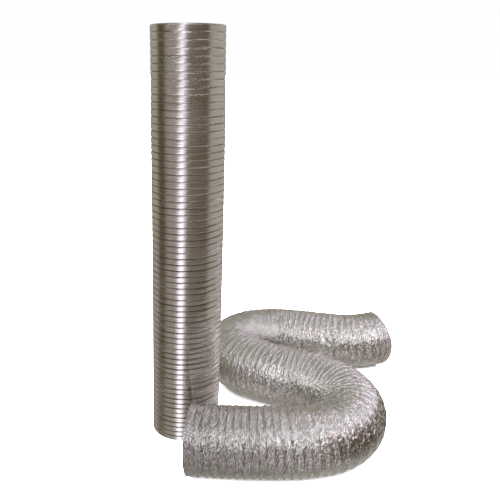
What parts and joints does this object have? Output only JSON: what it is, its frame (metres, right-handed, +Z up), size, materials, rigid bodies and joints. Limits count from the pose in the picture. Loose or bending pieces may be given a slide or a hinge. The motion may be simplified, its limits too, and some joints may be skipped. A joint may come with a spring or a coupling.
{
  "type": "flexible air duct set",
  "caption": "Upright semi-rigid corrugated aluminium duct with a wire-reinforced foil duct lying beside it in an S; both stretch and bend.",
  "frame": {"origin": "on the floor, under the middle of the box that holds both ducts", "axes": "+Z up along the upright duct; +X to the right, from the upright duct towards the S; +Y to the back"},
  "size_m": [0.4255, 0.4667, 0.619],
  "materials": {
    "corrugated_strip": "bright rolled corrugated aluminium strip, slightly brushed",
    "outer_foil": "crinkled bright laminated foil",
    "inner_foil": "crinkled laminated foil, duller than the outside",
    "spring_wire": "drawn spring steel wire"
  },
  "bodies": {
    "upright_base": {"strip_wall_base": "corrugated_strip"},
    "upright_1": {"strip_wall_1": "corrugated_strip"},
    "upright_2": {"strip_wall_2": "corrugated_strip"},
    "upright_3": {"strip_wall_3": "corrugated_strip"},
    "upright_4": {"strip_wall_4": "corrugated_strip"},
    "upright_5": {"strip_wall_5": "corrugated_strip"},
    "upright_6": {"strip_wall_6": "corrugated_strip"},
    "upright_7": {"strip_wall_7": "corrugated_strip"},
    "upright_8": {"strip_wall_8": "corrugated_strip"},
    "upright_9": {"strip_wall_9": "corrugated_strip"},
    "upright_top": {"strip_wall_top": "corrugated_strip"},
    "foil_middle": {"outer_foil_middle_1": "outer_foil", "outer_foil_middle_2": "outer_foil", "outer_foil_middle_3": "outer_foil", "outer_foil_middle_4": "outer_foil", "outer_foil_middle_5": "outer_foil", "outer_foil_middle_6": "outer_foil", "outer_foil_middle_7": "outer_foil", "outer_foil_middle_8": "outer_foil", "inner_foil_middle_1": "inner_foil", "inner_foil_middle_2": "inner_foil", "inner_foil_middle_3": "inner_foil", "inner_foil_middle_4": "inner_foil", "inner_foil_middle_5": "inner_foil", "inner_foil_middle_6": "inner_foil", "inner_foil_middle_7": "inner_foil", "inner_foil_middle_8": "inner_foil", "wire_middle": "spring_wire"},
    "foil_near_1": {"outer_foil_near_1": "outer_foil", "inner_foil_near_1": "inner_foil", "wire_near_1": "spring_wire"},
    "foil_near_2": {"outer_foil_near_2": "outer_foil", "inner_foil_near_2": "inner_foil", "wire_near_2": "spring_wire"},
    "foil_near_3": {"outer_foil_near_3": "outer_foil", "inner_foil_near_3": "inner_foil", "wire_near_3": "spring_wire"},
    "foil_near_end": {"outer_foil_near_end": "outer_foil", "inner_foil_near_end": "inner_foil", "wire_near_end": "spring_wire"},
    "foil_far_1": {"outer_foil_far_1": "outer_foil", "inner_foil_far_1": "inner_foil", "wire_far_1": "spring_wire"},
    "foil_far_2": {"outer_foil_far_2": "outer_foil", "inner_foil_far_2": "inner_foil", "wire_far_2": "spring_wire"},
    "foil_far_3": {"outer_foil_far_3": "outer_foil", "inner_foil_far_3": "inner_foil", "wire_far_3": "spring_wire"},
    "foil_far_end": {"outer_foil_far_end": "outer_foil", "inner_foil_far_end": "inner_foil", "wire_far_end": "spring_wire"}
  },
  "joints": [
    {"name": "upright_bend_1", "type": "hinge", "parent": "upright_base", "child": "upright_1", "pos_m": [-0.10357, -0.051, 0.10924], "axis": [0, 1, 0], "range_deg": [0, 12]},
    {"name": "upright_stretch_1", "type": "slide", "parent": "upright_1", "child": "upright_2", "axis": [0, 0, 1], "range_m": [0, 0.02]},
    {"name": "upright_bend_2", "type": "hinge", "parent": "upright_2", "child": "upright_3", "pos_m": [-0.09975, -0.051, 0.20026], "axis": [0, 1, 0], "range_deg": [0, 12]},
    {"name": "upright_stretch_2", "type": "slide", "parent": "upright_3", "child": "upright_4", "axis": [0, 0, 1], "range_m": [0, 0.02]},
    {"name": "upright_bend_3", "type": "hinge", "parent": "upright_4", "child": "upright_5", "pos_m": [-0.09618, -0.051, 0.29129], "axis": [0, 1, 0], "range_deg": [0, 12]},
    {"name": "upright_stretch_3", "type": "slide", "parent": "upright_5", "child": "upright_6", "axis": [0, 0, 1], "range_m": [0, 0.02]},
    {"name": "upright_bend_4", "type": "hinge", "parent": "upright_6", "child": "upright_7", "pos_m": [-0.09288, -0.051, 0.38232], "axis": [0, 1, 0], "range_deg": [0, 12]},
    {"name": "upright_stretch_4", "type": "slide", "parent": "upright_7", "child": "upright_8", "axis": [0, 0, 1], "range_m": [0, 0.02]},
    {"name": "upright_bend_5", "type": "hinge", "parent": "upright_8", "child": "upright_9", "pos_m": [-0.08983, -0.051, 0.47335], "axis": [0, 1, 0], "range_deg": [0, 12]},
    {"name": "upright_stretch_5", "type": "slide", "parent": "upright_9", "child": "upright_top", "axis": [0, 0, 1], "range_m": [0, 0.02]},
    {"name": "foil_duct_slide", "type": "slide", "parent": "upright_base", "child": "foil_middle", "axis": [1, 0, 0], "range_m": [0, 0.25]},
    {"name": "foil_near_bend_1", "type": "hinge", "parent": "foil_middle", "child": "foil_near_1", "pos_m": [0.00132, -0.23373, 0.052], "axis": [0, 0, 1], "range_deg": [0, 10]},
    {"name": "foil_near_bend_2", "type": "hinge", "parent": "foil_near_1", "child": "foil_near_2", "pos_m": [-0.03785, -0.23381, 0.052], "axis": [0, 0, 1], "range_deg": [0, 10]},
    {"name": "foil_near_bend_3", "type": "hinge", "parent": "foil_near_2", "child": "foil_near_3", "pos_m": [-0.07432, -0.23254, 0.052], "axis": [0, 0, 1], "range_deg": [0, 10]},
    {"name": "foil_near_stretch", "type": "slide", "parent": "foil_near_3", "child": "foil_near_end", "axis": [-0.9944, 0.1058, 0], "range_m": [0, 0.04]},
    {"name": "foil_far_bend_1", "type": "hinge", "parent": "foil_middle", "child": "foil_far_1", "pos_m": [0.07805, 0.21739, 0.052], "axis": [0, 0, 1], "range_deg": [0, 10]},
    {"name": "foil_far_bend_2", "type": "hinge", "parent": "foil_far_1", "child": "foil_far_2", "pos_m": [0.10715, 0.2083, 0.052], "axis": [0, 0, 1], "range_deg": [0, 10]},
    {"name": "foil_far_bend_3", "type": "hinge", "parent": "foil_far_2", "child": "foil_far_3", "pos_m": [0.13304, 0.20435, 0.052], "axis": [0, 0, 1], "range_deg": [0, 10]},
    {"name": "foil_far_stretch", "type": "slide", "parent": "foil_far_3", "child": "foil_far_end", "axis": [0.9737, 0.2278, 0], "range_m": [0, 0.04]}
  ],
  "couplings": [
    {"joint": "upright_bend_2", "follows": "upright_bend_1", "ratio": 1},
    {"joint": "upright_stretch_2", "follows": "upright_stretch_1", "ratio": 1},
    {"joint": "upright_bend_3", "follows": "upright_bend_1", "ratio": 1},
    {"joint": "upright_stretch_3", "follows": "upright_stretch_1", "ratio": 1},
    {"joint": "upright_bend_4", "follows": "upright_bend_1", "ratio": 1},
    {"joint": "upright_stretch_4", "follows": "upright_stretch_1", "ratio": 1},
    {"joint": "upright_bend_5", "follows": "upright_bend_1", "ratio": 1},
    {"joint": "upright_stretch_5", "follows": "upright_stretch_1", "ratio": 1},
    {"joint": "foil_near_bend_2", "follows": "foil_near_bend_1", "ratio": 1},
    {"joint": "foil_near_bend_3", "follows": "foil_near_bend_1", "ratio": 1},
    {"joint": "foil_far_bend_2", "follows": "foil_far_bend_1", "ratio": 1},
    {"joint": "foil_far_bend_3", "follows": "foil_far_bend_1", "ratio": 1}
  ]
}
